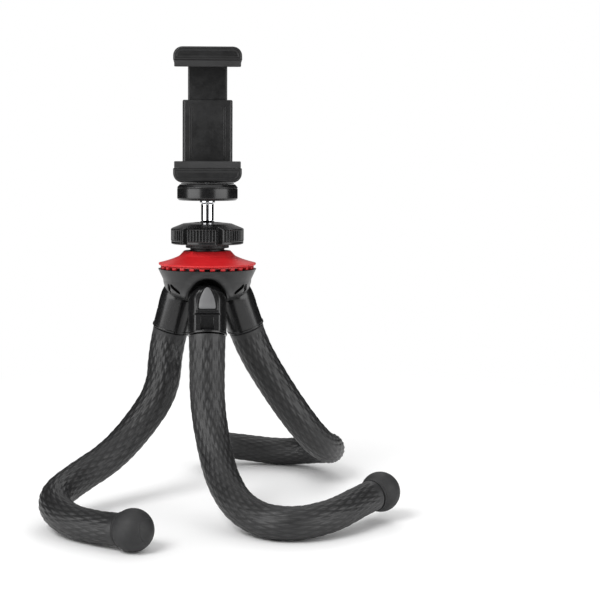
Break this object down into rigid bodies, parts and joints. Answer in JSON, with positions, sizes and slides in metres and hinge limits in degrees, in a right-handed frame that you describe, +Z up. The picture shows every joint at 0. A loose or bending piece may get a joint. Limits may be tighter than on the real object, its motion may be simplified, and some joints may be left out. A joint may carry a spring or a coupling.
{
  "type": "flexible phone tripod",
  "caption": "Small tripod with bendable rubber legs under a round hub, a ball head with a lobed lock knob, a round platform and a spring phone clamp.",
  "frame": {"origin": "on the floor under the middle of the outline seen from above; the hub axis stands 9.1 mm towards -X and 18.1 mm towards +Y of it", "axes": "+Z up along the hub axis, -Y towards the viewer and the front leg, +X to the viewer's right"},
  "size_m": [0.2286, 0.2522, 0.3055],
  "materials": {
    "hub_black": "glossy moulded plastic",
    "body_black": "satin moulded plastic",
    "leg_rubber": "matte moulded rubber with long facets",
    "grip_rubber": "matte rubber",
    "red": "satin red plastic",
    "badge_grey": "satin grey inlay",
    "chrome": "polished",
    "steel": "plated",
    "brass": "machined",
    "nylon": "natural nylon",
    "aluminium": "drawn"
  },
  "bodies": {
    "hub": {"hub_shell": "hub_black", "hub_plate": "body_black", "hub_bolt": "steel", "notched_ring": "red", "red_cover": "red", "ball_housing": "body_black", "ball_seat": "nylon", "front_hinge_pin": "steel", "left_hinge_pin": "steel", "right_hinge_pin": "steel"},
    "knob": {"lock_knob": "body_black"},
    "ball": {"ball": "chrome"},
    "platform": {"ball_stem": "chrome", "platform_disc": "hub_black", "platform_pad": "grip_rubber", "mount_screw": "steel"},
    "clamp": {"clamp_body": "body_black", "clamp_back_cover": "body_black", "cover_screw_1": "steel", "cover_screw_2": "steel", "cover_screw_3": "steel", "cover_screw_4": "steel", "thread_insert": "brass", "lower_pad": "grip_rubber"},
    "upper_clamp": {"upper_jaw": "body_black", "upper_pad": "grip_rubber", "clamp_spring": "steel"},
    "front_leg_top": {"front_collar": "hub_black", "front_badge": "badge_grey", "front_sleeve_upper": "leg_rubber", "front_sleeve_bend_upper": "leg_rubber", "front_leg_core": "aluminium"},
    "front_leg_middle": {"front_sleeve_middle": "leg_rubber", "front_sleeve_bend_lower": "leg_rubber"},
    "front_leg_foot": {"front_sleeve_lower": "leg_rubber", "front_foot_cap": "grip_rubber"},
    "left_leg_top": {"left_collar": "hub_black", "left_badge": "badge_grey", "left_sleeve_upper": "leg_rubber", "left_sleeve_bend_upper": "leg_rubber", "left_leg_core": "aluminium"},
    "left_leg_middle": {"left_sleeve_middle": "leg_rubber", "left_sleeve_bend_lower": "leg_rubber"},
    "left_leg_foot": {"left_sleeve_lower": "leg_rubber", "left_foot_cap": "grip_rubber"},
    "right_leg_top": {"right_collar": "hub_black", "right_badge": "badge_grey", "right_sleeve_upper": "leg_rubber", "right_sleeve_bend_upper": "leg_rubber", "right_leg_core": "aluminium"},
    "right_leg_middle": {"right_sleeve_middle": "leg_rubber", "right_sleeve_bend_lower": "leg_rubber"},
    "right_leg_foot": {"right_sleeve_lower": "leg_rubber", "right_foot_cap": "grip_rubber"}
  },
  "joints": [
    {"name": "knob_turn", "type": "hinge", "parent": "hub", "child": "knob", "pos_m": [-0.00908, 0.01805, 0.1729], "axis": [0, 0, 1], "range_deg": [-60, 180]},
    {"name": "ball_spin", "type": "hinge", "parent": "hub", "child": "ball", "pos_m": [-0.00908, 0.01805, 0.1825], "axis": [0, 0, 1], "continuous": true},
    {"name": "ball_tilt", "type": "hinge", "parent": "ball", "child": "platform", "pos_m": [-0.00908, 0.01805, 0.1825], "axis": [1, 0, 0], "range_deg": [-14, 14]},
    {"name": "clamp_turn", "type": "hinge", "parent": "platform", "child": "clamp", "pos_m": [-0.00908, 0.01805, 0.2145], "axis": [0, 0, 1], "continuous": true},
    {"name": "jaw_slide", "type": "slide", "parent": "clamp", "child": "upper_clamp", "axis": [0, 0, 1], "range_m": [-0.012, 0.016], "deforming": ["clamp_spring"]},
    {"name": "front_leg_hinge", "type": "hinge", "parent": "hub", "child": "front_leg_top", "pos_m": [-0.00908, -0.00445, 0.1355], "axis": [-1, 0, 0], "range_deg": [-12, 35]},
    {"name": "front_bend_upper", "type": "hinge", "parent": "front_leg_top", "child": "front_leg_middle", "pos_m": [-0.00426, -0.03131, 0.04422], "axis": [-0.9755, -0.2047, -0.081], "range_deg": [-45, 45], "deforming": ["front_sleeve_bend_upper", "front_leg_core"]},
    {"name": "front_bend_lower", "type": "hinge", "parent": "front_leg_middle", "child": "front_leg_foot", "pos_m": [0.03823, -0.09198, 0.01072], "axis": [-0.0327, -0.1426, 0.9892], "range_deg": [-45, 45], "deforming": ["front_sleeve_bend_lower", "front_leg_core"]},
    {"name": "left_leg_hinge", "type": "hinge", "parent": "hub", "child": "left_leg_top", "pos_m": [-0.02857, 0.02931, 0.1355], "axis": [0.5, 0.866, 0], "range_deg": [-12, 35]},
    {"name": "left_bend_upper", "type": "hinge", "parent": "left_leg_top", "child": "left_leg_middle", "pos_m": [-0.05507, 0.00579, 0.05174], "axis": [-0.7572, 0.6156, 0.2185], "range_deg": [-45, 45], "deforming": ["left_sleeve_bend_upper", "left_leg_core"]},
    {"name": "left_bend_lower", "type": "hinge", "parent": "left_leg_middle", "child": "left_leg_foot", "pos_m": [-0.10352, -0.05459, 0.01687], "axis": [-0.0864, -0.2298, 0.9694], "range_deg": [-45, 45], "deforming": ["left_sleeve_bend_lower", "left_leg_core"]},
    {"name": "right_leg_hinge", "type": "hinge", "parent": "hub", "child": "right_leg_top", "pos_m": [0.0104, 0.02931, 0.1355], "axis": [0.5, -0.866, 0], "range_deg": [-12, 35]},
    {"name": "right_bend_upper", "type": "hinge", "parent": "right_leg_top", "child": "right_leg_middle", "pos_m": [0.05412, 0.03534, 0.05113], "axis": [0.8158, -0.1369, 0.5619], "range_deg": [-45, 45], "deforming": ["right_sleeve_bend_upper", "right_leg_core"]},
    {"name": "right_bend_lower", "type": "hinge", "parent": "right_leg_middle", "child": "right_leg_foot", "pos_m": [0.07206, 0.09912, 0.01462], "axis": [-0.1024, 0.1811, 0.9781], "range_deg": [-45, 45], "deforming": ["right_sleeve_bend_lower", "right_leg_core"]}
  ]
}
